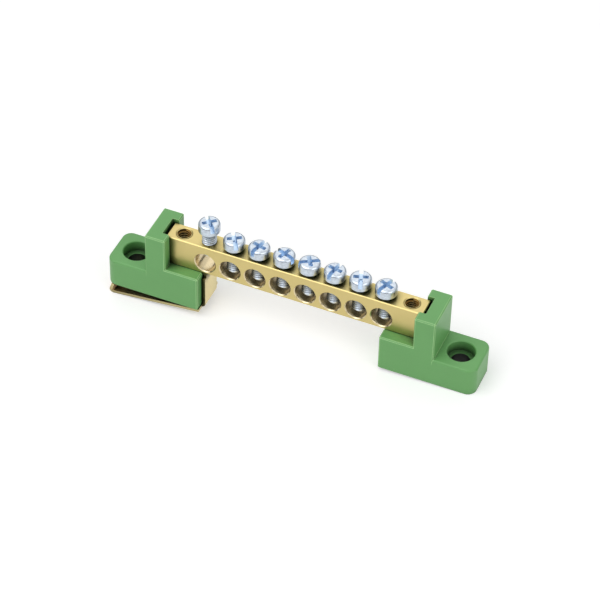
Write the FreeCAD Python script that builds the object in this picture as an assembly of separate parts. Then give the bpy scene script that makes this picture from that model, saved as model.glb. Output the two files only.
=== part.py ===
import FreeCAD, Part
import math
import os

# Earth terminal bar on two moulded holders, with a springy earthing contact under the left one.
# Millimetres. X runs along the bar, Y from front to back, Z up. The origin is the middle of the
# whole object in plan, at the level of its lowest point, the free end of the contact strip.

# Terminal bar
CONDUCTOR_COUNT = 8
CONDUCTOR_HOLE_D = 5.7
CONDUCTOR_WALL_T = 1.3
CONDUCTOR_FLOOR_T = 0.8
BAR_DEPTH = 5.8
BAR_HEIGHT = 9.05
BAR_EDGE_CHAMFER = 0.2
END_HOLE_PITCH = 7.1
END_MARGIN = 3.95
THREAD_D = 4.0
END_HOLE_RIM_CHAMFER = 0.25

# Clamp screws
THREAD_CLEARANCE = 0.05
CLAMP_HEAD_D = 5.8
CLAMP_HEAD_H = 2.7
CLAMP_HEAD_BEVEL = 0.4
CLAMP_TIP_BELOW_AXIS = 1.7
CLAMP_HEAD_STANDOFF = 0.9
RAISED_SCREW_LIFT = 3.0
RAISED_SCREW = "clamp_screw_1"
SLOT_W = 1.1
SLOT_DEPTH = 1.7
CROSS_SPAN = 4.0
CROSS_ARM_W = 1.1
CROSS_DEPTH = 2.0
CROSS_TAPER = 0.45
SLOT_TURN_DEG = (131, 122, 75, 160, 31, 79, 109, 68)

# Moulded holders
HOLDER_DEPTH = 12.3
SEAT_HEIGHT = 10.6
SEAT_L = 9.15
WALL_RISE = 0.9
WALL_OVERLAP = 1.05
BAR_END_GAP = 0.9
BAR_SIDE_CLEARANCE = 0.2
END_WALL_T = 3.75
FOOT_HEIGHT = 8.3
FOOT_L = 11.35
FOOT_CORNER_R = 2.5
FOOT_EDGE_R = 0.6
HOLDER_EDGE_CHAMFER = 0.3
FIXING_AXIS_OFFSET = 5.3
FIXING_HOLE_D = 5.0
COUNTERBORE_D = 7.3
COUNTERBORE_DEPTH = 3.3
COUNTERBORE_RIM_CHAMFER = 0.25

# Screws that hold the bar down on the holders, driven from below
HOLDER_SCREW_GRIP = 5.0
HOLDER_SCREW_HEAD_D = 7.0
HOLDER_SCREW_HEAD_H = 2.6
HOLDER_SCREW_HEAD_BEVEL = 0.6
HOLDER_SCREW_PASS_CLEARANCE = 0.25
HEAD_POCKET_DEPTH = 5.6
HEAD_POCKET_CLEARANCE = 0.5

# Contact strip, bent from sheet
STRIP_T = 0.8
STRIP_SIDE_INSET = 0.2
STRIP_BEND_R = 0.3
STRIP_SLOPE_DEG = 6.0
STRIP_REST_GAP = 0.03
STRIP_HOLE_CLEARANCE = 0.8
STRIP_HOLE_MARGIN = 2.1
LIP_LEAN_DEG = 72.0
LIP_GAP = 0.15
LEG_W = 7.2
LEG_CLEARANCE = 0.05
RUN_OVERHANG = 0.3
TAB_INSET = 0.25
TAB_CLEARANCE = 0.2
TAB_STOP_SHORT = 0.95
TAB_SHOULDER_DROP = 1.6

# Sizes that follow from the ones above
PITCH = CONDUCTOR_HOLE_D + CONDUCTOR_WALL_T
CONDUCTOR_AXIS_Z = SEAT_HEIGHT + CONDUCTOR_FLOOR_T + CONDUCTOR_HOLE_D / 2
END_HOLE_X = (CONDUCTOR_COUNT - 1) * PITCH / 2 + END_HOLE_PITCH
BAR_HALF_L = END_HOLE_X + END_MARGIN
BAR_TOP = SEAT_HEIGHT + BAR_HEIGHT
CLAMP_SHANK_L = BAR_TOP + CLAMP_HEAD_STANDOFF - CONDUCTOR_AXIS_Z + CLAMP_TIP_BELOW_AXIS
WALL_END_X = BAR_HALF_L - WALL_OVERLAP
SEAT_END_X = WALL_END_X - SEAT_L
POCKET_END_X = BAR_HALF_L + BAR_END_GAP
BLOCK_OUTER_X = POCKET_END_X + END_WALL_T
BLOCK_TOP = BAR_TOP + WALL_RISE
FIXING_X = BLOCK_OUTER_X + FIXING_AXIS_OFFSET
FOOT_END_X = BLOCK_OUTER_X + FOOT_L
HOLDER_SCREW_PASS_R = THREAD_D / 2 + HOLDER_SCREW_PASS_CLEARANCE
HOLDER_SCREW_L = SEAT_HEIGHT - HEAD_POCKET_DEPTH + HOLDER_SCREW_GRIP
STRIP_W = HOLDER_DEPTH - 2 * STRIP_SIDE_INSET
STRIP_HOLE_R = FIXING_HOLE_D / 2 + STRIP_HOLE_CLEARANCE
LEG_GAP = STRIP_BEND_R + LEG_CLEARANCE
TAB_W = BAR_DEPTH - 2 * TAB_INSET
TAB_END_X = END_HOLE_X - HOLDER_SCREW_PASS_R - TAB_STOP_SHORT
CUT_OVER = 1.0
TINY = 1e-4
MIRROR = {"left": -1, "right": 1}


def vec(x, y, z):
    return FreeCAD.Vector(x, y, z)


def box(x0, x1, half_y, z0, z1):
    """A block centred on the XZ plane."""
    low = vec(min(x0, x1), -half_y, z0)
    return Part.makeBox(abs(x1 - x0), 2 * half_y, z1 - z0, low)


def upright(radius, x, z0, z1):
    """A cylinder along Z on the XZ plane."""
    return Part.makeCylinder(radius, z1 - z0, vec(x, 0, z0))


def flare(rim_r, chamfer, rim, outward):
    """The cone that breaks the rim of a hole; rim is the hole's centre there, outward its way out."""
    start = rim - outward * chamfer
    return Part.makeCone(rim_r, rim_r + 2 * chamfer, 2 * chamfer, start, outward)


def revolve(points):
    """A turned solid about Z from its (radius, height) outline."""
    outline = [vec(r, 0, z) for r, z in points]
    face = Part.Face(Part.makePolygon(outline + outline[:1]))
    return face.revolve(vec(0, 0, 0), vec(0, 0, 1), 360)


def conductor_xs():
    first = -(CONDUCTOR_COUNT - 1) * PITCH / 2
    return [first + i * PITCH for i in range(CONDUCTOR_COUNT)]


def conductor_hole(x):
    """The cross hole for one conductor."""
    start = vec(x, -BAR_DEPTH / 2 - CUT_OVER, CONDUCTOR_AXIS_Z)
    return Part.makeCylinder(CONDUCTOR_HOLE_D / 2, BAR_DEPTH + 2 * CUT_OVER, start, vec(0, 1, 0))


def terminal_bar():
    """The brass bar with its conductor holes, a tapped hole over each and one near each end."""
    bar = box(-BAR_HALF_L, BAR_HALF_L, BAR_DEPTH / 2, SEAT_HEIGHT, BAR_TOP)
    bar = bar.makeChamfer(BAR_EDGE_CHAMFER, bar.Edges)
    tap_r = THREAD_D / 2
    cuts = []
    for x in conductor_xs():
        cuts.append(conductor_hole(x))
        cuts.append(upright(tap_r, x, CONDUCTOR_AXIS_Z, BAR_TOP + CUT_OVER))
    for x in (-END_HOLE_X, END_HOLE_X):
        cuts.append(upright(tap_r, x, SEAT_HEIGHT - CUT_OVER, BAR_TOP + CUT_OVER))
        cuts.append(flare(tap_r, END_HOLE_RIM_CHAMFER, vec(x, 0, BAR_TOP), vec(0, 0, 1)))
    return bar.cut(cuts)


def cross_recess(top_z):
    """A driver's cross recess: two crossing wedges that narrow towards its floor."""
    floor_half = CROSS_SPAN / 2 * CROSS_TAPER
    slope = (CROSS_SPAN / 2 - floor_half) / CROSS_DEPTH
    over_half = CROSS_SPAN / 2 + slope * CUT_OVER
    floor_z = top_z - CROSS_DEPTH
    over_z = top_z + CUT_OVER
    side_view = [(-floor_half, floor_z), (floor_half, floor_z), (over_half, over_z), (-over_half, over_z)]
    outline = [vec(x, -CROSS_ARM_W / 2, z) for x, z in side_view]
    wedge = Part.Face(Part.makePolygon(outline + outline[:1])).extrude(vec(0, CROSS_ARM_W, 0))
    crossing = wedge.copy()
    crossing.rotate(vec(0, 0, 0), vec(0, 0, 1), 90)
    return wedge.fuse(crossing)


def screw_blank(head_d, head_h, bevel, shank_l):
    """A turned screw with the underside of its head at z = 0 and its tip pointing down."""
    shank_r = THREAD_D / 2 - THREAD_CLEARANCE
    head_r = head_d / 2
    return revolve([
        (0, -shank_l),
        (shank_r, -shank_l),
        (shank_r, 0),
        (head_r, 0),
        (head_r, head_h - bevel),
        (head_r - bevel, head_h),
        (0, head_h),
    ])


def clamp_head_z(name):
    """Level of the underside of one clamp screw's head."""
    lift = RAISED_SCREW_LIFT if name == RAISED_SCREW else 0
    return BAR_TOP + CLAMP_HEAD_STANDOFF + lift


def clamp_screw(name, x, turn):
    """A clamp screw with a slot and a cross recess, turned as it was left."""
    screw = screw_blank(CLAMP_HEAD_D, CLAMP_HEAD_H, CLAMP_HEAD_BEVEL, CLAMP_SHANK_L)
    reach = CLAMP_HEAD_D / 2 + CUT_OVER
    slot = box(-reach, reach, SLOT_W / 2, CLAMP_HEAD_H - SLOT_DEPTH, CLAMP_HEAD_H + CUT_OVER)
    screw = screw.cut(slot.fuse(cross_recess(CLAMP_HEAD_H)))
    screw.rotate(vec(0, 0, 0), vec(0, 0, 1), turn)
    screw.translate(vec(x, 0, clamp_head_z(name)))
    return screw


def edges_where(shape, test):
    return [edge for edge in shape.Edges if test(edge)]


def flat_at(edge, z):
    """True for an edge that lies wholly at level z."""
    return abs(edge.BoundBox.ZMin - z) < TINY and abs(edge.BoundBox.ZMax - z) < TINY


def near_x(edge, x):
    """True for an edge that lies wholly at one x."""
    return abs(edge.BoundBox.XMin - x) < TINY and abs(edge.BoundBox.XMax - x) < TINY


def is_upright(edge):
    return edge.BoundBox.XLength < TINY and edge.BoundBox.YLength < TINY


def foot():
    """The right holder's foot, rooted in the end wall, with rounded outer corners and a soft top rim."""
    root_x = BLOCK_OUTER_X - END_WALL_T / 2
    body = box(root_x, FOOT_END_X, HOLDER_DEPTH / 2, 0, FOOT_HEIGHT)
    corners = edges_where(body, lambda edge: is_upright(edge) and near_x(edge, FOOT_END_X))
    body = body.makeFillet(FOOT_CORNER_R, corners)
    rim = edges_where(body, lambda edge: flat_at(edge, FOOT_HEIGHT) and not near_x(edge, root_x))
    return body.makeFillet(FOOT_EDGE_R, rim)


def block():
    """The right holder's block and the seat that reaches in below the bar, from one side view."""
    side_view = [
        (SEAT_END_X, 0),
        (BLOCK_OUTER_X, 0),
        (BLOCK_OUTER_X, BLOCK_TOP),
        (WALL_END_X, BLOCK_TOP),
        (WALL_END_X, SEAT_HEIGHT),
        (SEAT_END_X, SEAT_HEIGHT),
    ]
    outline = [vec(x, -HOLDER_DEPTH / 2, z) for x, z in side_view]
    body = Part.Face(Part.makePolygon(outline + outline[:1])).extrude(vec(0, HOLDER_DEPTH, 0))

    def outer(edge):
        at_root = flat_at(edge, SEAT_HEIGHT) and near_x(edge, WALL_END_X)
        at_top = flat_at(edge, BLOCK_TOP) or flat_at(edge, SEAT_HEIGHT)
        return is_upright(edge) or (at_top and not at_root)

    return body.makeChamfer(HOLDER_EDGE_CHAMFER, edges_where(body, outer))


def holder_cuts():
    """The bar's pocket, the fixing hole, the screw's way up from below and the tab's recess."""
    pocket_half = BAR_DEPTH / 2 + BAR_SIDE_CLEARANCE
    pocket = box(WALL_END_X - CUT_OVER, POCKET_END_X, pocket_half, SEAT_HEIGHT, BLOCK_TOP + CUT_OVER)
    over = FOOT_HEIGHT + CUT_OVER
    fixing = upright(FIXING_HOLE_D / 2, FIXING_X, -CUT_OVER, over)
    counterbore = upright(COUNTERBORE_D / 2, FIXING_X, FOOT_HEIGHT - COUNTERBORE_DEPTH, over)
    rim_centre = vec(FIXING_X, 0, FOOT_HEIGHT)
    rim = flare(COUNTERBORE_D / 2, COUNTERBORE_RIM_CHAMFER, rim_centre, vec(0, 0, 1))
    passage = upright(HOLDER_SCREW_PASS_R, END_HOLE_X, -CUT_OVER, SEAT_HEIGHT + CUT_OVER)
    pocket_r = HOLDER_SCREW_HEAD_D / 2 + HEAD_POCKET_CLEARANCE
    head_pocket = upright(pocket_r, END_HOLE_X, -CUT_OVER, HEAD_POCKET_DEPTH)
    recess_half = TAB_W / 2 + TAB_CLEARANCE
    recess_floor = SEAT_HEIGHT - STRIP_T
    recess = box(SEAT_END_X - CUT_OVER, TAB_END_X + TAB_CLEARANCE, recess_half, recess_floor, BAR_TOP)
    return [pocket, fixing, counterbore, rim, passage, head_pocket, recess]


def holder(side):
    """One moulded holder; both ends use the same moulding, turned half round."""
    body = block().fuse(foot()).removeSplitter().cut(holder_cuts())
    if MIRROR[side] < 0:
        body.rotate(vec(0, 0, 0), vec(0, 0, 1), 180)
    return body


def holder_screw(side):
    """The screw that draws the bar down on its holder, head in the pocket below."""
    screw = screw_blank(HOLDER_SCREW_HEAD_D, HOLDER_SCREW_HEAD_H, HOLDER_SCREW_HEAD_BEVEL, HOLDER_SCREW_L)
    screw = screw.cut(cross_recess(HOLDER_SCREW_HEAD_H))
    screw.rotate(vec(0, 0, 0), vec(1, 0, 0), 180)
    screw.translate(vec(MIRROR[side] * END_HOLE_X, 0, HEAD_POCKET_DEPTH))
    return screw


def unit(a, b):
    """Direction from a to b."""
    return (b - a).normalize()


def beside(direction):
    """The direction a quarter turn to the left in the side view, which looks along +Y."""
    return vec(-direction.z, 0, direction.x)


def bend(before, corner, after):
    """Centre, start and end of the strip's middle line round one bend, and the side that it turns to."""
    d_in = unit(before, corner)
    d_out = unit(corner, after)
    side = 1 if beside(d_in).dot(d_out) > 0 else -1
    radius = STRIP_BEND_R + STRIP_T / 2
    reach = radius * math.tan(d_in.getAngle(d_out) / 2)
    start = corner - d_in * reach
    end = corner + d_out * reach
    centre = start + beside(d_in) * (side * radius)
    return centre, start, end, side


def strip_line():
    """Corners of the strip's middle line in side view: lip, sloping run, leg and tab."""
    slope = math.radians(STRIP_SLOPE_DEG)
    lean = math.radians(LIP_LEAN_DEG)
    half = STRIP_T / 2
    leg_x = -SEAT_END_X + LEG_GAP + half
    outer_x = -FIXING_X - STRIP_HOLE_R - STRIP_HOLE_MARGIN
    edge_z = -STRIP_REST_GAP - half / math.cos(slope)
    inner_z = edge_z + (leg_x + SEAT_END_X) * math.tan(slope)
    outer_z = inner_z - (leg_x - outer_x) * math.tan(slope)
    lip_z = -LIP_GAP - half * math.cos(lean)
    lip_x = outer_x + (lip_z - outer_z) / math.tan(lean)
    tab_z = SEAT_HEIGHT - half
    corners = [(lip_x, lip_z), (outer_x, outer_z), (leg_x, inner_z), (leg_x, tab_z), (-TAB_END_X, tab_z)]
    return [vec(x, 0, z) for x, z in corners]


def sheet_face(line):
    """Side view of a bent sheet that follows a middle line."""
    half = STRIP_T / 2
    bends = [bend(line[i - 1], line[i], line[i + 1]) for i in range(1, len(line) - 1)]
    stops = [line[0]]
    for centre, start, end, side in bends:
        stops += [start, end]
    stops.append(line[-1])
    edges = []
    caps = [[], []]
    for offset in (half, -half):
        runs = []
        for i in range(0, len(stops), 2):
            shift = beside(unit(stops[i], stops[i + 1])) * offset
            runs.append((stops[i] + shift, stops[i + 1] + shift))
        edges += [Part.makeLine(a, b) for a, b in runs]
        for k, (centre, start, end, side) in enumerate(bends):
            radius = STRIP_BEND_R + half - side * offset
            middle = centre + unit(centre, line[k + 1]) * radius
            edges.append(Part.Arc(runs[k][1], middle, runs[k + 1][0]).toShape())
        caps[0].append(runs[0][0])
        caps[1].append(runs[-1][1])
    edges += [Part.makeLine(a, b) for a, b in caps]
    return Part.Face(Part.Wire(Part.__sortEdges__(edges)))


def strip_sides(half_width, x0, x1, z0, z1):
    """The two blocks that trim a stretch of the strip down to a narrower width."""
    blocks = []
    for side in (-1, 1):
        y = min(side * half_width, side * (half_width + STRIP_W))
        blocks.append(Part.makeBox(x1 - x0, STRIP_W, z1 - z0, vec(x0, y, z0)))
    return blocks


def contact_strip():
    """The earthing contact: a springy run below the foot, a leg up its inner end and a tab below the bar."""
    strip = sheet_face(strip_line()).extrude(vec(0, STRIP_W, 0))
    strip.translate(vec(0, -STRIP_W / 2, 0))
    inner_x = -SEAT_END_X + LEG_GAP + STRIP_T + CUT_OVER
    shoulder_z = SEAT_HEIGHT - TAB_SHOULDER_DROP
    cuts = strip_sides(LEG_W / 2, -SEAT_END_X + RUN_OVERHANG, inner_x, -BAR_TOP, BAR_TOP)
    cuts += strip_sides(TAB_W / 2, -END_HOLE_X, inner_x, shoulder_z, BAR_TOP)
    cuts.append(upright(STRIP_HOLE_R, -FIXING_X, -BAR_TOP, 0))
    return strip.cut(cuts)


def strip_drop():
    """How far the strip's free end hangs below the holders."""
    lip, outer, inner = strip_line()[:3]
    centre = bend(lip, outer, inner)[0]
    return STRIP_BEND_R + STRIP_T - centre.z


def nodes():
    shapes = {"terminal_bar": terminal_bar()}
    for i, x in enumerate(conductor_xs()):
        name = "clamp_screw_%d" % (i + 1)
        shapes[name] = clamp_screw(name, x, SLOT_TURN_DEG[i % len(SLOT_TURN_DEG)])
    for side in MIRROR:
        shapes["%s_holder" % side] = holder(side)
        shapes["%s_holder_screw" % side] = holder_screw(side)
    shapes["contact_strip"] = contact_strip()
    return shapes


os.makedirs("parts", exist_ok=True)
lift = vec(0, 0, strip_drop())
for name, shape in nodes().items():
    shape.translate(lift)
    shape.exportStep("parts/%s.step" % name)
    print(name, "solids", len(shape.Solids), "valid", shape.isValid(), "volume %.2f" % shape.Volume)
print("holders stand %.4f above the strip's free end, fixing holes at %.3f" % (strip_drop(), FIXING_X))
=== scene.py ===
"""Looks of an earth terminal bar on two moulded feet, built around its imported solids."""
import math
from collections import namedtuple

import bmesh
import bpy
from bpy.props import FloatProperty, FloatVectorProperty, IntProperty, PointerProperty
from mathutils import Matrix, Vector


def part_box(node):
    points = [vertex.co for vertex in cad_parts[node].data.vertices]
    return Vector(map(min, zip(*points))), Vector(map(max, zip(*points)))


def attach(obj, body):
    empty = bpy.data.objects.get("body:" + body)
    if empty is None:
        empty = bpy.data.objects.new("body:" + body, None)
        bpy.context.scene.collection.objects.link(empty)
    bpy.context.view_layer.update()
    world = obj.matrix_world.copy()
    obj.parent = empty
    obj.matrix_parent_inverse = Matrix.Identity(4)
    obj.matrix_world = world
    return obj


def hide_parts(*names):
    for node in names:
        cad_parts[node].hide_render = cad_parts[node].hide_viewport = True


bl_info = {
    "name": "Earth terminal bar",
    "version": (1, 0, 0),
    "blender": (4, 5, 0),
    "location": "3D View > Sidebar > Terminal bar",
    "description": "Dresses the solids of an earth terminal bar with threads and finishes",
    "category": "Object",
}

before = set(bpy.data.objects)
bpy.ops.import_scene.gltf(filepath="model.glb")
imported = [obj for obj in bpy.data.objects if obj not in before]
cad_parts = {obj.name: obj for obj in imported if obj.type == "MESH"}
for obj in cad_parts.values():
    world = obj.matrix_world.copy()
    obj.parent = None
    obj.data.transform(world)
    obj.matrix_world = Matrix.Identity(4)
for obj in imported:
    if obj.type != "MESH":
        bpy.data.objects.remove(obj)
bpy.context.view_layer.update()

MM = 0.001
ROOT = "bar_on_holders"
SCREW_COUNT = 8
CLAMP_SCREWS = ["clamp_screw_%d" % (i + 1) for i in range(SCREW_COUNT)]
SLOT_TURN_DEG = (131, 122, 75, 160, 31, 79, 109, 68)
HOLDER_SCREWS = ("left_holder_screw", "right_holder_screw")
HOLDERS = ("left_holder", "right_holder")
SCREW_LOOKS = ("zinc plating", "recess zinc")
BAR_LOOKS = ("bar brass", "drilled brass", "tapped brass", "crest brass")
HOLDER_LOOKS = ("green plastic", "rubbed plastic")
STRIP_LOOKS = ("strip brass", "sheared brass", "lip brass")
UP = Vector((0, 0, 1))
ORIGIN = (0, 0, 0)

SMOOTH_ANGLE = math.radians(32)  # two faces that meet at less are shaded as one
CRISP_ANGLE = math.radians(30)  # an edge that is sharper is rounded
SQUARE_ANGLE = math.radians(80)
FLAT_ANGLE = math.radians(0.5)
FACING = 0.99  # a face whose normal reaches this share along an axis looks along it
SOLID_MERGE, TURNED_MERGE = 0.001 * MM, 0.0005 * MM
EDGE_STEPS = 2

# Screws
CLAMP_HEAD_H = 2.7 * MM
HOLDER_HEAD_H = 2.6 * MM
HOLDER_HEAD_ROUND = 0.9 * MM
RIM_STEPS = 7
TURNED_EDGE = 0.12 * MM
SLOT_OVER = 1.0 * MM
CROSS_OVER = 0.05 * MM
CROSS_FLOOR = (0.42, 0.55, 1)  # how much the cross recess narrows towards its floor
RECESS_LOW, RECESS_NEAR = 0.3 * MM, 0.03 * MM  # floor of the recesses, and room for error

# Threads
RIDGE_SHARE = 0.92  # width of a thread's ridge at its root, in pitches
SUNK = 0.02 * MM  # how far a ridge's root lies inside its shank
SCREW_RIDGE_STEPS, SCREW_CREST_SHARE = 24, 0.14
TAPPED_RIDGE_STEPS, TAPPED_CREST_SHARE = 32, 0.30
TAPPED_WALL_R = 2.03 * MM
TAPPED_LOW, TAPPED_HIGH = 0.4 * MM, 0.1 * MM  # room left below and above the bar's threads
CREST_NEAR = 0.02 * MM
MOUTH_DEPTH, MOUTH_BREAK = 0.2 * MM, 0.06 * MM

# Bar, holders and strip
BORE_MARGIN = 0.3 * MM  # faces that lie deeper in the bar than this are in its holes
END_HOLE_REACH = 2.2 * MM
FACE_NEAR = 0.002 * MM
BLOCK_END_X = 40.4 * MM  # the holder edges painted paler green as highlights lie nearer to the middle than this
# the strip's faces within this of its outer end are painted oranger, as if lit
LIP_L = 1.6 * MM
FLAT_WEIGHT = 80

# Stage
GREY = (0.8, 0.8, 0.8, 1)
BLACK_CLOTH = (0.05, 0.05, 0.05, 1)
WHITE = (1, 1, 1, 1)
LIP_CONTACT = 1.5 * MM  # the strip touches the floor this far in from its outer end
FLOOR_GAP = 0.03 * MM
FLOOR_HALF = 6.0
FLAG_R, FLAG_H, FLAG_Z, FLAG_STEPS = 1.5, 0.45, 0.30, 48
LIGHT_AIM = Vector((0, 0, 0.01))
KEY_PLACE, KEY_WIDTH = (-0.44, -0.53, 0.98), 1.1
FILL_PLACE, FILL_WIDTH = (0.85, -0.42, 0.51), 0.7
BACK_PLACE, BACK_WIDTH = (-0.32, 0.80, 0.83), 1.0
SENSOR_W = 36
NEAR_CLIP = 0.01
CAMERA_PLACE = (0.18507028, -0.44911829, 0.47520503)
CAMERA_AXES = (Vector((0.91869031, 0.39458559, 0.01761625)),  # to its right
               Vector((-0.28419033, 0.62937302, 0.72327412)),  # up
               Vector((0.27430635, -0.66947129, 0.69033631)))  # backwards

GRAIN_H = 0.02 * MM
CLOUD_DETAIL, GRAIN_DETAIL = 3.0, 2.0
OPENNESS_SAMPLES = 12

# Directions in which a surface counts as more open, so that the shade painted in its corners falls
# on one side; leaning to the left paints the shadows of a light from the left
LEFTWARD = (-0.9, 0.0, 0.3)
STRAIGHT = (0.0, 0.0, 0.0)

# A finish: the names of its colour and roughness in TerminalFinishes, and then its character.
# Clouds and grain are noise scales a metre, tone and spread say how far colour and roughness vary,
# corner is the colour painted as shade in corners, reach is in millimetres, closed and clear are
# shares of open sky, lean tips that painted shade towards one side.
Finish = namedtuple("Finish", "base rough metallic clouds grain tone spread bump "
                              "corner reach closed clear lean")
MILLED = (160.0, 3600.0, 3600.0)
ROLLED = (300.0, 2600.0, 2600.0)
DRILLED = (900.0, 900.0, 900.0)
RECESSED = (1600.0, 1600.0, 1600.0)
FINE = (2600.0, 2600.0, 2600.0)
FINISHES = {
    # the bar's and the strip's brass lean to the left, so their corner shade is painted as shadows
    # cast from the left, like the pocket wall's shadow on the bar's front
    "bar brass": Finish("bar_brass", "brass_rough", 1.0, 160.0, MILLED, 0.05, 0.06, 0.35,
                        (0.025, 0.04, 0.010), 3.2, 0.16, 0.66, LEFTWARD),
    # painted light and shade: the hole walls get a paler, lighter brass than the bar's face, as lit
    # walls, and their deep corners are painted near black as shade
    "drilled brass": Finish("bore_brass", "bore_rough", 1.0, 300.0, DRILLED, 0.08, 0.04, 0.35,
                            (0.012, 0.008, 0.002), 1.8, 0.30, 0.86, STRAIGHT),
    # painted shade: the end holes' threads are painted dark brown, as the shade inside them
    "tapped brass": Finish("tapped_brass", "bore_rough", 1.0, 300.0, DRILLED, 0.08, 0.04, 0.35,
                           (0.02, 0.012, 0.002), 1.6, 0.1, 0.9, STRAIGHT),
    # painted highlight: the crests of the end holes' threads are painted bright, as glints
    "crest brass": Finish("crest_brass", "brass_rough", 1.0, 300.0, DRILLED, 0.08, 0.04, 0.35,
                          (0.40, 0.32, 0.16), 1.0, -0.2, 0.4, STRAIGHT),
    "strip brass": Finish("strip_brass", "brass_rough", 1.0, 260.0, ROLLED, 0.06, 0.06, 0.30,
                          (0.03, 0.035, 0.012), 3.0, 0.18, 0.80, LEFTWARD),
    # the sheared edges' darker colour, which also serves as painted shade on the leg's front edge
    # in the holder's shadow
    "sheared brass": Finish("sheared_brass", "brass_rough", 1.0, 260.0, ROLLED, 0.06, 0.06, 0.30,
                            (0.02, 0.02, 0.006), 3.0, 0.30, 0.85, LEFTWARD),
    # painted light: the strip's lip is half metallic and oranger, and its corners turn light orange
    # instead of dark, as if lit through the gap under the foot
    "lip brass": Finish("lip_brass", "brass_rough", 0.5, 260.0, ROLLED, 0.06, 0.06, 0.30,
                        (0.60, 0.38, 0.16), 1.5, 0.0, 0.5, STRAIGHT),
    "zinc plating": Finish("zinc", "zinc_rough", 1.0, 1500.0, FINE, 0.36, 0.16, 0.80,
                           (0.03, 0.04, 0.06), 0.5, 0.2, 0.95, STRAIGHT),
    # painted shade: the slots and cross recesses are painted bluer, with dark blue in their
    # corners, for the blue shade of light bounced inside them
    "recess zinc": Finish("recess_zinc", "recess_rough", 1.0, 900.0, RECESSED, 0.20, 0.08, 0.30,
                          (0.16, 0.26, 0.48), 0.8, 0.0, 0.7, STRAIGHT),
    "green plastic": Finish("plastic", "plastic_rough", 0.0, 120.0, FINE, 0.05, 0.05, 0.30,
                            (0.001, 0.006, 0.001), 7.0, 0.28, 0.53, STRAIGHT),
    # painted highlight: paler green on the edges of the holders' blocks and seats, as the light
    # they catch
    "rubbed plastic": Finish("rubbed", "plastic_rough", 0.0, 120.0, FINE, 0.05, 0.05, 0.30,
                             (0.002, 0.010, 0.001), 7.0, 0.08, 0.62, STRAIGHT),
}


def size_mm(label, about, default):
    return FloatProperty(name=label, description=about, default=default * MM, unit="LENGTH",
                         precision=5)


def colour(label, about, default):
    return FloatVectorProperty(name=label, description=about, default=default, size=3,
                               min=0, max=1, subtype="COLOR")


def share(label, about, default):
    return FloatProperty(name=label, description=about, default=default,
                         min=0, max=1, subtype="FACTOR")


def watts(label, about, default):
    return FloatProperty(name=label, description=about, default=default, unit="POWER")


class TerminalSizes(bpy.types.PropertyGroup):
    """Sizes of the turned and milled details."""
    thread_pitch: size_mm("Thread pitch", "Rise of the screw thread in one turn", 0.7)
    thread_crest: size_mm("Thread crest radius", "Outer radius of the screws' threads", 1.95)
    thread_root: size_mm("Thread root radius",
                         "Radius between the ridges of the screws' threads", 1.54)
    tapped_crest: size_mm("Tapped crest radius",
                          "Radius left free by the ridges in a tapped hole", 1.60)
    tapped_mouth: size_mm("Tapped mouth radius",
                          "Radius of the opening of a tapped hole at the bar's top", 1.84)
    head_round: size_mm("Head rounding", "Radius of the rounded rim of a clamp screw's head", 0.85)
    slot_width: size_mm("Slot width", "Width of the slot in a clamp screw's head", 1.1)
    slot_depth: size_mm("Slot depth", "Depth of the slot in a clamp screw's head", 1.7)
    cross_span: size_mm("Cross recess span",
                        "Width across the cross recess at the top of a head", 4.0)
    cross_arm: size_mm("Cross recess arm", "Width of one arm of the cross recess", 1.1)
    cross_depth: size_mm("Cross recess depth", "Depth of the cross recess", 2.0)
    hole_rim: size_mm("Hole rim break", "Width of the broken edge round each conductor hole", 0.24)
    mould_edge: size_mm("Moulded edge", "Radius of the soft edges of the holders", 0.14)
    sheet_edge: size_mm("Sheet edge", "Radius of the rolled edges of the contact strip", 0.07)
    turn_steps: IntProperty(name="Steps in a turn", description="Facets round a turned piece",
                            default=48, min=12)


class TerminalFinishes(bpy.types.PropertyGroup):
    """Colours and gloss of the finishes."""
    bar_brass: colour("Bar brass", "Milled brass of the terminal bar", (0.62, 0.505, 0.215))
    # painted light: brass paler and lighter than the bar's face, for the lit walls of its holes
    bore_brass: colour("Bore brass", "Drilled brass in the bar's holes", (0.68, 0.57, 0.36))
    # painted shade: the dark brown inside the end holes
    tapped_brass: colour("Tapped brass", "Threads of the bar's end holes", (0.22, 0.12, 0.03))
    # painted highlight: the bright crests of the end holes' threads
    crest_brass: colour("Crest brass",
                        "Bright crests of the threads in the bar's end holes", (0.95, 0.82, 0.48))
    strip_brass: colour("Strip brass", "Rolled brass of the contact strip", (0.88, 0.75, 0.40))
    # darker colour of the sheared edges, and also painted shade on the leg's front edge, which lies
    # in the holder's shadow
    sheared_brass: colour("Sheared brass",
                          "Duller sheared edges of the contact strip", (0.56, 0.47, 0.24))
    # painted light: the orange of the lip as if lit through the gap under the foot
    lip_brass: colour("Lip brass", "Brass at the strip's turned-up lip", (0.86, 0.60, 0.32))
    zinc: colour("Zinc", "Bright zinc plating of the screws", (0.56, 0.62, 0.69))
    # painted shade: the bluer zinc of the recesses, for light bounced inside them
    recess_zinc: colour("Recess zinc",
                        "Bluer plating in the slots and cross recesses", (0.58, 0.72, 0.95))
    plastic: colour("Plastic", "Green plastic of the holders", (0.150, 0.400, 0.125))
    # painted highlight: paler green for the light caught by the holders' block and seat edges
    rubbed: colour("Rubbed plastic",
                   "Paler green on the rubbed edges of the holders", (0.46, 0.76, 0.34))
    brass_rough: share("Brass roughness", "Roughness of the milled brass", 0.36)
    bore_rough: share("Bore roughness", "Roughness of the drilled brass", 0.26)
    zinc_rough: share("Zinc roughness", "Roughness of the plating", 0.32)
    recess_rough: share("Recess roughness", "Roughness of the plating in the recesses", 0.38)
    plastic_rough: share("Plastic roughness", "Roughness of the moulded plastic", 0.42)


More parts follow.
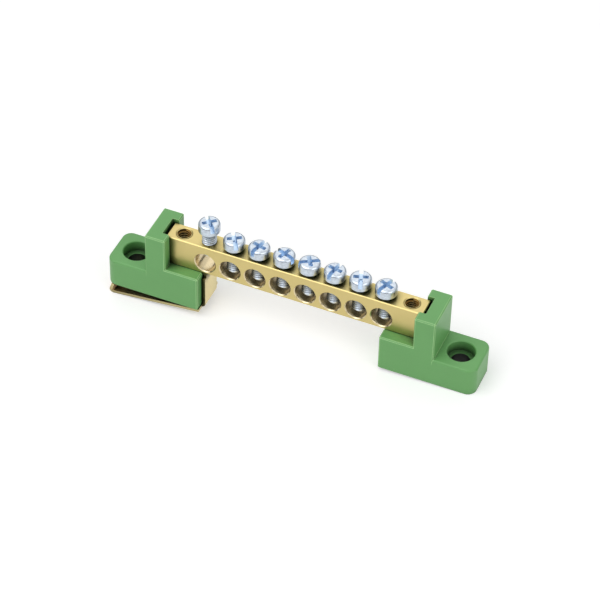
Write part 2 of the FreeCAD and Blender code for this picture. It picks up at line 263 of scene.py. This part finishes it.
class TerminalStage(bpy.types.PropertyGroup):
    """Light, floor and camera."""
    key_power: watts("Key power", "Power of the large soft light", 6.4)
    fill_power: watts("Fill power", "Power of the side light", 2.4)
    back_power: watts("Back power", "Power of the light from behind", 1.1)
    ambient: share("Ambient level", "Grey level of the surrounding light", 0.45)
    floor_lift: share("Floor lift",
                      "Light that the floor adds for the camera and for reflections", 0.38)
    lens: FloatProperty(name="Lens", description="Focal length on a 36 mm sensor",
                        default=156.246)


def sizes():
    return bpy.context.scene.terminal_sizes


def finishes():
    return bpy.context.scene.terminal_finishes


# Finishes

def effect_group(name, inputs, outputs):
    """An empty shader node group with its sockets, inputs as (name, kind, default)."""
    group = bpy.data.node_groups.new(name, "ShaderNodeTree")
    for label, kind, default in inputs:
        socket = group.interface.new_socket(label, in_out="INPUT", socket_type=kind)
        socket.default_value = default
    for label, kind in outputs:
        group.interface.new_socket(label, in_out="OUTPUT", socket_type=kind)
    return group, group.nodes.new("NodeGroupInput"), group.nodes.new("NodeGroupOutput")


def surface_unevenness():
    """A cloudy mask, and a finer grain that may be drawn out along one direction."""
    made = bpy.data.node_groups.get("surface unevenness")
    if made:
        return made
    group, given, result = effect_group(
        "surface unevenness",
        [("Cloud scale", "NodeSocketFloat", 200.0), ("Grain scale", "NodeSocketVector", DRILLED)],
        [("Cloud", "NodeSocketFloat"), ("Grain", "NodeSocketFloat")])
    place = group.nodes.new("ShaderNodeTexCoord")
    cloud = group.nodes.new("ShaderNodeTexNoise")
    cloud.inputs["Detail"].default_value = CLOUD_DETAIL
    stretch = group.nodes.new("ShaderNodeVectorMath")
    stretch.operation = "MULTIPLY"
    grain = group.nodes.new("ShaderNodeTexNoise")
    grain.inputs["Scale"].default_value = 1.0
    grain.inputs["Detail"].default_value = GRAIN_DETAIL
    link = group.links.new
    link(place.outputs["Object"], cloud.inputs["Vector"])
    link(given.outputs["Cloud scale"], cloud.inputs["Scale"])
    link(place.outputs["Object"], stretch.inputs[0])
    link(given.outputs["Grain scale"], stretch.inputs[1])
    link(stretch.outputs["Vector"], grain.inputs["Vector"])
    link(cloud.outputs["Fac"], result.inputs["Cloud"])
    link(grain.outputs["Fac"], result.inputs["Grain"])
    return group


def painted_corner_shade():
    """A mask that falls from 1 on open surfaces to 0 deep in holes, gaps and corners, where the
    finishes paint shade.

    Lean tips the way in which a surface looks for open space, so that one side of it is painted
    darker, as a painted shadow.
    """
    made = bpy.data.node_groups.get("corner tarnish")
    if made:
        return made
    group, given, result = effect_group(
        "corner tarnish",
        [("Reach", "NodeSocketFloat", 0.002), ("Closed", "NodeSocketFloat", 0.1),
         ("Clear", "NodeSocketFloat", 0.8), ("Lean", "NodeSocketVector", STRAIGHT)],
        [("Open", "NodeSocketFloat")])
    openness = group.nodes.new("ShaderNodeAmbientOcclusion")
    openness.samples = OPENNESS_SAMPLES
    surface = group.nodes.new("ShaderNodeNewGeometry")
    leaned = group.nodes.new("ShaderNodeVectorMath")
    leaned.operation = "ADD"
    unit = group.nodes.new("ShaderNodeVectorMath")
    unit.operation = "NORMALIZE"
    span = group.nodes.new("ShaderNodeMapRange")
    link = group.links.new
    link(surface.outputs["Normal"], leaned.inputs[0])
    link(given.outputs["Lean"], leaned.inputs[1])
    link(leaned.outputs["Vector"], unit.inputs[0])
    link(unit.outputs["Vector"], openness.inputs["Normal"])
    link(given.outputs["Reach"], openness.inputs["Distance"])
    link(openness.outputs["AO"], span.inputs["Value"])
    link(given.outputs["Closed"], span.inputs["From Min"])
    link(given.outputs["Clear"], span.inputs["From Max"])
    link(span.outputs["Result"], result.inputs["Open"])
    return group


def finish_material(name):
    """One finish: cloudy tones, a colour painted as shade in corners, uneven gloss and a grain in
    relief.
    """
    kind = FINISHES[name]
    base, rough = getattr(finishes(), kind.base), getattr(finishes(), kind.rough)
    material = bpy.data.materials.new(name)
    material.use_nodes = True
    nodes, link = material.node_tree.nodes, material.node_tree.links.new
    shader = nodes["Principled BSDF"]
    shader.inputs["Metallic"].default_value = kind.metallic
    uneven = nodes.new("ShaderNodeGroup")
    uneven.node_tree = surface_unevenness()
    uneven.inputs["Cloud scale"].default_value = kind.clouds
    uneven.inputs["Grain scale"].default_value = kind.grain
    tones = nodes.new("ShaderNodeMix")
    tones.data_type = "RGBA"
    tones.inputs["A"].default_value = (*[c * (1 - kind.tone) for c in base], 1)
    tones.inputs["B"].default_value = (*[min(c * (1 + kind.tone), 1) for c in base], 1)
    link(uneven.outputs["Cloud"], tones.inputs["Factor"])
    corners = nodes.new("ShaderNodeGroup")
    corners.node_tree = painted_corner_shade()
    corners.inputs["Reach"].default_value = kind.reach * MM
    corners.inputs["Closed"].default_value = kind.closed
    corners.inputs["Clear"].default_value = kind.clear
    corners.inputs["Lean"].default_value = kind.lean
    # painted shade: the corner colour is mixed in wherever the mask finds a surface closed in
    shade_painted = nodes.new("ShaderNodeMix")
    shade_painted.data_type = "RGBA"
    shade_painted.inputs["A"].default_value = (*kind.corner, 1)
    link(tones.outputs["Result"], shade_painted.inputs["B"])
    link(corners.outputs["Open"], shade_painted.inputs["Factor"])
    link(shade_painted.outputs["Result"], shader.inputs["Base Color"])
    gloss = nodes.new("ShaderNodeMapRange")
    gloss.inputs["To Min"].default_value = rough - kind.spread
    gloss.inputs["To Max"].default_value = rough + kind.spread
    link(uneven.outputs["Grain"], gloss.inputs["Value"])
    link(gloss.outputs["Result"], shader.inputs["Roughness"])
    relief = nodes.new("ShaderNodeBump")
    relief.inputs["Strength"].default_value = kind.bump
    relief.inputs["Distance"].default_value = GRAIN_H
    link(uneven.outputs["Grain"], relief.inputs["Height"])
    link(relief.outputs["Normal"], shader.inputs["Normal"])
    return material


def finish(name):
    """The named finish, made when a piece first asks for it."""
    return bpy.data.materials.get(name) or finish_material(name)


# Shaping

def soften(bm):
    """Smooth shading with crisp edges where two faces meet at a clear angle."""
    for face in bm.faces:
        face.smooth = True
    for edge in bm.edges:
        edge.smooth = len(edge.link_faces) == 2 and edge.calc_face_angle(0) < SMOOTH_ANGLE


def solid_copy(node):
    """A merged copy of a CAD node's mesh with its flat faces whole again."""
    bm = bmesh.new()
    bm.from_mesh(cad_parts[node].data)
    bmesh.ops.remove_doubles(bm, verts=bm.verts, dist=SOLID_MERGE)
    bmesh.ops.dissolve_limit(bm, angle_limit=FLAT_ANGLE, verts=bm.verts, edges=bm.edges)
    return bm


def turned(bm, outline, steps):
    """A turned shell about Z from a list of (radius, height)."""
    points = [bm.verts.new((r, 0, z)) for r, z in outline]
    edges = [bm.edges.new(pair) for pair in zip(points, points[1:])]
    bmesh.ops.spin(bm, geom=points + edges, cent=ORIGIN, axis=UP, dvec=ORIGIN, angle=math.tau,
                   steps=steps, use_merge=True, use_duplicate=False)
    bmesh.ops.remove_doubles(bm, verts=bm.verts, dist=TURNED_MERGE)
    bmesh.ops.recalc_face_normals(bm, faces=bm.faces)


def wound_ridge(bm, root, crest, pitch, low, high, steps, crest_share):
    """The closed helical ridge of a thread, from a profile that is spun as it climbs."""
    half_root, half_crest = pitch * RIDGE_SHARE / 2, pitch * crest_share / 2
    low, high = low + half_root, high - half_root
    corners = [(root, low - half_root), (crest, low - half_crest),
               (crest, low + half_crest), (root, low + half_root)]
    profile = bm.faces.new([bm.verts.new((r, 0, z)) for r, z in corners])
    count = int(steps * (high - low) / pitch)
    bmesh.ops.spin(bm, geom=[profile, *profile.edges, *profile.verts], cent=ORIGIN, axis=UP,
                   dvec=(0, 0, pitch / steps), angle=math.tau * count / steps, steps=count,
                   use_merge=False, use_duplicate=False)
    bmesh.ops.recalc_face_normals(bm, faces=bm.faces)


def object_from(bm, name):
    """A new object in the scene with the bmesh's shape, which is used up."""
    mesh = bpy.data.meshes.new(name)
    bm.to_mesh(mesh)
    bm.free()
    piece = bpy.data.objects.new(name, mesh)
    bpy.context.scene.collection.objects.link(piece)
    return piece


def dress(piece, looks, body, node):
    """Gives a piece its finishes, the body that it rides on and the node it replaces."""
    for look in looks:
        piece.data.materials.append(finish(look))
    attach(piece, body)
    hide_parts(node)


def carve(bm, cutter_bm):
    """Cuts a closed cutter out of a closed shell and returns the result."""
    blank = object_from(bm, "blank")
    cutter = object_from(cutter_bm, "cutter")
    cut = blank.modifiers.new("cut", "BOOLEAN")
    cut.operation = "DIFFERENCE"
    cut.solver = "EXACT"
    cut.object = cutter
    graph = bpy.context.evaluated_depsgraph_get()
    result = bmesh.new()
    result.from_mesh(blank.evaluated_get(graph).to_mesh())
    for spent in (blank, cutter):
        bpy.data.objects.remove(spent)
    return result


def block(bm, size, centre):
    """A closed box with the given sides, of which it returns the corners."""
    place = Matrix.Translation(centre) @ Matrix.Diagonal((*size, 1))
    return bmesh.ops.create_cube(bm, size=1.0, matrix=place)["verts"]


def cross_wedge(top, turn):
    """One of the two crossing wedges of a driver's recess, narrower towards its floor."""
    size = sizes()
    bm = bmesh.new()
    height = size.cross_depth + CROSS_OVER
    verts = block(bm, (size.cross_span, size.cross_arm, height),
                  (0, 0, top + CROSS_OVER - height / 2))
    floor = [v for v in verts if v.co.z < top]
    bmesh.ops.scale(bm, vec=CROSS_FLOOR, verts=floor)
    bmesh.ops.rotate(bm, cent=ORIGIN, matrix=Matrix.Rotation(turn, 3, "Z"), verts=bm.verts)
    return bm


def join(bm, other):
    """Adds the other bmesh's shells to the first."""
    mesh = bpy.data.meshes.new("joined")
    other.to_mesh(mesh)
    other.free()
    bm.from_mesh(mesh)
    bpy.data.meshes.remove(mesh)


def rim_arc(radius, top, rounding):
    """Outline points of a rounded rim, from the side up to the flat top."""
    points = []
    for i in range(RIM_STEPS + 1):
        angle = math.pi / 2 * i / RIM_STEPS
        points.append((radius - rounding + rounding * math.cos(angle),
                       top - rounding + rounding * math.sin(angle)))
    return points


def in_recess(face, head_r, head_h, rounding):
    """True for a face of a head's slot or cross recess, which lies off the turned outline."""
    centre = face.calc_center_median_weighted()
    r, z = math.hypot(centre.x, centre.y), centre.z
    arc_r, arc_z = head_r - rounding, head_h - rounding
    off_arc = abs(math.hypot(r - arc_r, z - arc_z) - rounding)
    on_arc = r > arc_r and z > arc_z and off_arc < RECESS_NEAR
    return RECESS_LOW < z < head_h - RECESS_NEAR and r < head_r - RECESS_NEAR and not on_arc


def screw_shape(head_r, head_h, shank_l, slotted, rounding):
    """One screw with the underside of its head at z = 0 and its tip pointing down."""
    size = sizes()
    root, crest, pitch = size.thread_root, size.thread_crest, size.thread_pitch
    outline = [(0, -shank_l), (root - TURNED_EDGE, -shank_l), (root, -shank_l + TURNED_EDGE),
               (root, 0), (head_r - TURNED_EDGE, 0), (head_r, TURNED_EDGE)]
    outline += rim_arc(head_r, head_h, rounding) + [(0, head_h)]
    bm = bmesh.new()
    turned(bm, outline, size.turn_steps)
    if slotted:
        slot = bmesh.new()
        block(slot, (head_r * 2 + SLOT_OVER, size.slot_width, size.slot_depth + SLOT_OVER),
              (0, 0, head_h - size.slot_depth + (size.slot_depth + SLOT_OVER) / 2))
        bm = carve(bm, slot)
    for turn in (0, math.pi / 2):
        bm = carve(bm, cross_wedge(head_h, turn))
    for face in bm.faces:
        face.material_index = int(in_recess(face, head_r, head_h, rounding))
    ridge = bmesh.new()
    wound_ridge(ridge, root - SUNK, crest, pitch, -shank_l + TURNED_EDGE, -SUNK,
                SCREW_RIDGE_STEPS, SCREW_CREST_SHARE)
    join(bm, ridge)
    return bm


def place_screw(bm, turn, axis, place):
    """Turns a screw about its axis or over, and brings it to its place."""
    bmesh.ops.rotate(bm, cent=ORIGIN, matrix=Matrix.Rotation(turn, 3, axis), verts=bm.verts)
    bmesh.ops.translate(bm, vec=place, verts=bm.verts)
    soften(bm)


class TERMINAL_OT_clamp_screws(bpy.types.Operator):
    """The eight zinc-plated clamp screws with slot, cross recess and thread"""
    bl_idname = "terminal.clamp_screws"
    bl_label = "Clamp screws"

    def execute(self, context):
        low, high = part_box(CLAMP_SCREWS[0])
        master = screw_shape((high.x - low.x) / 2, CLAMP_HEAD_H, high.z - low.z - CLAMP_HEAD_H,
                             True, sizes().head_round)
        for name, turn in zip(CLAMP_SCREWS, SLOT_TURN_DEG):
            low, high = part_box(name)
            bm = master.copy()
            place = ((low.x + high.x) / 2, (low.y + high.y) / 2, high.z - CLAMP_HEAD_H)
            place_screw(bm, math.radians(turn), "Z", place)
            piece = object_from(bm, name.replace("screw", "screw_plated"))
            dress(piece, SCREW_LOOKS, name, name)
        master.free()
        return {"FINISHED"}


class TERMINAL_OT_holder_screws(bpy.types.Operator):
    """The two screws that hold the bar down from below"""
    bl_idname = "terminal.holder_screws"
    bl_label = "Holder screws"

    def execute(self, context):
        for name in HOLDER_SCREWS:
            low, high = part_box(name)
            bm = screw_shape((high.x - low.x) / 2, HOLDER_HEAD_H, high.z - low.z - HOLDER_HEAD_H,
                             False, HOLDER_HEAD_ROUND)
            place = ((low.x + high.x) / 2, (low.y + high.y) / 2, low.z + HOLDER_HEAD_H)
            place_screw(bm, math.pi, "X", place)
            dress(object_from(bm, name + "_plated"), SCREW_LOOKS, ROOT, name)
        return {"FINISHED"}


def end_hole_x():
    """The holder screws stand in line with the bar's end holes."""
    low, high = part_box("right_holder_screw")
    return (low.x + high.x) / 2


def tapped_threads(low, high):
    """The ridge and the mouth of one tapped hole about Z, for a bar from low to high."""
    size = sizes()
    bm = bmesh.new()
    wound_ridge(bm, TAPPED_WALL_R, size.tapped_crest, size.thread_pitch, low + TAPPED_LOW,
                high - TAPPED_HIGH, TAPPED_RIDGE_STEPS, TAPPED_CREST_SHARE)
    # the ridges are painted dark as shade, and their crests bright as highlights
    for face in bm.faces:
        centre = face.calc_center_median()
        on_crest = math.hypot(centre.x, centre.y) < size.tapped_crest + CREST_NEAR
        face.material_index = BAR_LOOKS.index("crest brass" if on_crest else "tapped brass")
    mouth = bmesh.new()
    inner, bottom = size.tapped_mouth, high - MOUTH_DEPTH
    turned(mouth, [(TAPPED_WALL_R, bottom), (inner, bottom), (inner, high - MOUTH_BREAK),
                   (inner + MOUTH_BREAK, high), (TAPPED_WALL_R, high), (TAPPED_WALL_R, bottom)],
           size.turn_steps)
    join(bm, mouth)
    soften(bm)
    return bm


class TERMINAL_OT_bar(bpy.types.Operator):
    """The brass bar with broken hole rims and the threads of its end holes"""
    bl_idname = "terminal.bar"
    bl_label = "Terminal bar"

    def execute(self, context):
        low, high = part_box("terminal_bar")
        bm = solid_copy("terminal_bar")
        face_y = max(abs(low.y), abs(high.y))
        end_x = end_hole_x()

        def on_rim(edge):
            flat = [abs(face.normal.y) > FACING for face in edge.link_faces]
            at_face = all(abs(abs(v.co.y) - face_y) < FACE_NEAR for v in edge.verts)
            one_flat = len(flat) == 2 and sum(flat) == 1
            return one_flat and at_face and edge.calc_face_angle(0) > SQUARE_ANGLE

        def in_bore(centre):
            inside = abs(centre.y) < face_y - BORE_MARGIN
            return inside and low.z + BORE_MARGIN < centre.z < high.z - BORE_MARGIN

        rims = [edge for edge in bm.edges if on_rim(edge)]
        for face in bm.faces:
            centre = face.calc_center_median()
            # faces in the holes get brass painted for light and shade: dark in the end holes, paler
            # in the others
            if in_bore(centre):
                at_end = abs(centre.x) > end_x - END_HOLE_REACH
                face.material_index = BAR_LOOKS.index("tapped brass" if at_end else "drilled brass")
        bmesh.ops.bevel(bm, geom=rims, offset=sizes().hole_rim, offset_type="OFFSET",
                        affect="EDGES", segments=1, profile=0.5, material=-1)
        soften(bm)
        for x in (-end_x, end_x):
            threads = tapped_threads(low.z, high.z)
            bmesh.ops.translate(threads, vec=(x, 0, 0), verts=threads.verts)
            join(bm, threads)
        piece = object_from(bm, "terminal_bar_milled")
        dress(piece, BAR_LOOKS, ROOT, "terminal_bar")
        return {"FINISHED"}


def roll_edges(piece, width):
    """Rounds the crisp edges of a piece and keeps its flat faces flat in shading."""
    rounding = piece.modifiers.new("soft edges", "BEVEL")
    rounding.width = width
    rounding.segments = EDGE_STEPS
    rounding.limit_method = "ANGLE"
    rounding.angle_limit = CRISP_ANGLE
    rounding.harden_normals = False
    flat_faces(piece)


def flat_faces(piece):
    """Keeps the flat faces of a piece with rounded edges flat in shading."""
    shading = piece.modifiers.new("flat faces", "WEIGHTED_NORMAL")
    shading.keep_sharp = True
    shading.weight = FLAT_WEIGHT


def round_mouldings(bm, width, low, high):
    """Rounds the edges of a holder and paints those of its block and seat paler green, as
    highlights.
    """
    sharp = [edge for edge in bm.edges
             if len(edge.link_faces) == 2 and edge.calc_face_angle(0) > CRISP_ANGLE]
    made = bmesh.ops.bevel(bm, geom=sharp, offset=width, offset_type="OFFSET", affect="EDGES",
                           segments=EDGE_STEPS, profile=0.5, material=-1, clamp_overlap=True)
    for face in made["faces"]:
        if abs(face.calc_center_median().x) < BLOCK_END_X:
            face.material_index = HOLDER_LOOKS.index("rubbed plastic")
    for vert in bm.verts:
        vert.co.y = min(max(vert.co.y, low.y), high.y)
    for face in bm.faces:
        face.smooth = True


class TERMINAL_OT_holders(bpy.types.Operator):
    """The two moulded holders with soft edges"""
    bl_idname = "terminal.holders"
    bl_label = "Holders"

    def execute(self, context):
        for name in HOLDERS:
            bm = solid_copy(name)
            round_mouldings(bm, sizes().mould_edge, *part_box(name))
            piece = object_from(bm, name + "_moulded")
            dress(piece, HOLDER_LOOKS, ROOT, name)
            flat_faces(piece)
        return {"FINISHED"}


class TERMINAL_OT_contact_strip(bpy.types.Operator):
    """The bent contact strip with rolled edges"""
    bl_idname = "terminal.contact_strip"
    bl_label = "Contact strip"

    def execute(self, context):
        bm = solid_copy("contact_strip")
        lip_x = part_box("contact_strip")[0].x + LIP_L
        for face in bm.faces:
            face.smooth = True
            # the lip end is painted as lit
            if face.calc_center_median().x < lip_x:
                face.material_index = STRIP_LOOKS.index("lip brass")
            # the edge faces get the darker sheared colour, partly as painted shade
            elif abs(face.normal.y) > FACING:
                face.material_index = STRIP_LOOKS.index("sheared brass")
        piece = object_from(bm, "contact_strip_bent")
        dress(piece, STRIP_LOOKS, ROOT, "contact_strip")
        roll_edges(piece, sizes().sheet_edge)
        return {"FINISHED"}


# Stage

def seen_rays(nodes, link):
    """A value of 1 for camera, glossy and transmission rays, and 0 for the rest."""
    path = nodes.new("ShaderNodeLightPath")
    total = path.outputs["Is Camera Ray"]
    for ray in ("Is Glossy Ray", "Is Transmission Ray"):
        either = nodes.new("ShaderNodeMath")
        either.operation = "MAXIMUM"
        link(total, either.inputs[0])
        link(path.outputs[ray], either.inputs[1])
        total = either.outputs[0]
    return total


def matt_material(name, base):
    """A material without any gloss."""
    material = bpy.data.materials.new(name)
    material.use_nodes = True
    shader = material.node_tree.nodes["Principled BSDF"]
    shader.inputs["Base Color"].default_value = base
    shader.inputs["Roughness"].default_value = 1.0
    shader.inputs["Specular IOR Level"].default_value = 0.0
    return material


def floor_material(level):
    """A pale floor that looks lighter than it is lit, and still keeps the object's shadow."""
    material = matt_material("pale floor", GREY)
    nodes, link = material.node_tree.nodes, material.node_tree.links.new
    shader = nodes["Principled BSDF"]
    shader.inputs["Emission Color"].default_value = WHITE
    strength = nodes.new("ShaderNodeMath")
    strength.operation = "MULTIPLY"
    strength.inputs[1].default_value = level
    link(seen_rays(nodes, link), strength.inputs[0])
    link(strength.outputs[0], shader.inputs["Emission Strength"])
    return material


def soft_light(name, place, width, power):
    """A square light of the given width that faces the object."""
    data = bpy.data.lights.new(name, "AREA")
    data.shape = "SQUARE"
    data.size = width
    data.energy = power
    lamp = bpy.data.objects.new(name, data)
    lamp.location = place
    lamp.rotation_euler = (LIGHT_AIM - lamp.location).to_track_quat("-Z", "Y").to_euler()
    bpy.context.scene.collection.objects.link(lamp)


def pale_floor(lift):
    """A floor that touches the strip's lip and the right foot, so it follows their slight tilt."""
    strip_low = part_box("contact_strip")[0]
    foot_low, foot_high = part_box("right_holder")
    near_x = strip_low.x + LIP_CONTACT
    slope = math.atan2(foot_low.z - strip_low.z, foot_high.x - near_x)
    place = Matrix.Translation((near_x, 0, strip_low.z - FLOOR_GAP))
    bm = bmesh.new()
    bmesh.ops.create_grid(bm, x_segments=1, y_segments=1, size=FLOOR_HALF)
    bmesh.ops.transform(bm, matrix=place @ Matrix.Rotation(-slope, 4, "Y"), verts=bm.verts)
    floor = object_from(bm, "floor")
    floor.data.materials.append(floor_material(lift))


def dark_flag():
    """A ring of dark cloth that only shows in the metal, where it gives it its contrast."""
    bm = bmesh.new()
    bmesh.ops.create_cone(bm, cap_ends=False, segments=FLAG_STEPS, radius1=FLAG_R,
                          radius2=FLAG_R, depth=FLAG_H,
                          matrix=Matrix.Translation((0, 0, FLAG_Z)))
    flag = object_from(bm, "dark flag")
    flag.data.materials.append(matt_material("dark cloth", BLACK_CLOTH))
    for ray in ("visible_camera", "visible_diffuse", "visible_shadow", "visible_volume_scatter"):
        setattr(flag, ray, False)


def studio_world(ambient):
    """Surroundings that light the object at the ambient level and look white themselves."""
    world = bpy.data.worlds.new("studio")
    world.use_nodes = True
    nodes, link = world.node_tree.nodes, world.node_tree.links.new
    level = nodes.new("ShaderNodeMapRange")
    level.inputs["To Min"].default_value = ambient
    level.inputs["To Max"].default_value = 1.0
    link(seen_rays(nodes, link), level.inputs["Value"])
    link(level.outputs["Result"], nodes["Background"].inputs["Strength"])
    nodes["Background"].inputs["Color"].default_value = WHITE
    return world


def studio_camera(lens):
    """The camera where the fit to the photograph puts it."""
    data = bpy.data.cameras.new("camera")
    data.lens = lens
    data.sensor_width = SENSOR_W
    data.clip_start = NEAR_CLIP
    camera = bpy.data.objects.new("camera", data)
    turn = Matrix(CAMERA_AXES).transposed().to_4x4()
    camera.matrix_world = Matrix.Translation(CAMERA_PLACE) @ turn
    bpy.context.scene.collection.objects.link(camera)
    return camera


class TERMINAL_OT_stage(bpy.types.Operator):
    """The floor that the part stands on, the soft lights and the camera"""
    bl_idname = "terminal.stage"
    bl_label = "Stage"

    def execute(self, context):
        scene, stage = context.scene, context.scene.terminal_stage
        scene.view_settings.view_transform = "Standard"
        pale_floor(stage.floor_lift)
        dark_flag()
        scene.world = studio_world(stage.ambient)
        soft_light("key light", KEY_PLACE, KEY_WIDTH, stage.key_power)
        soft_light("side light", FILL_PLACE, FILL_WIDTH, stage.fill_power)
        soft_light("back light", BACK_PLACE, BACK_WIDTH, stage.back_power)
        scene.camera = studio_camera(stage.lens)
        return {"FINISHED"}


OPERATORS = (TERMINAL_OT_bar, TERMINAL_OT_clamp_screws, TERMINAL_OT_holder_screws,
             TERMINAL_OT_holders, TERMINAL_OT_contact_strip, TERMINAL_OT_stage)


class TERMINAL_PT_pieces(bpy.types.Panel):
    """Lists the pieces in the order in which they are made"""
    bl_idname = "TERMINAL_PT_pieces"
    bl_label = "Earth terminal bar"
    bl_space_type = "VIEW_3D"
    bl_region_type = "UI"
    bl_category = "Terminal bar"

    def draw(self, context):
        column = self.layout.column()
        for operator in OPERATORS:
            column.operator(operator.bl_idname)
        for group_name in GROUPS:
            group = getattr(context.scene, group_name)
            for name in group.__annotations__:
                column.prop(group, name)


GROUPS = {"terminal_sizes": TerminalSizes, "terminal_finishes": TerminalFinishes,
          "terminal_stage": TerminalStage}
CLASSES = (*GROUPS.values(), *OPERATORS, TERMINAL_PT_pieces)


def register():
    for cls in CLASSES:
        bpy.utils.register_class(cls)
    for name, cls in GROUPS.items():
        setattr(bpy.types.Scene, name, PointerProperty(type=cls))


def unregister():
    for name in GROUPS:
        delattr(bpy.types.Scene, name)
    for cls in reversed(CLASSES):
        bpy.utils.unregister_class(cls)


def main():
    register()
    bpy.ops.terminal.bar()
    bpy.ops.terminal.clamp_screws()
    bpy.ops.terminal.holder_screws()
    bpy.ops.terminal.holders()
    bpy.ops.terminal.contact_strip()
    bpy.ops.terminal.stage()


if __name__ == "__main__":
    main()
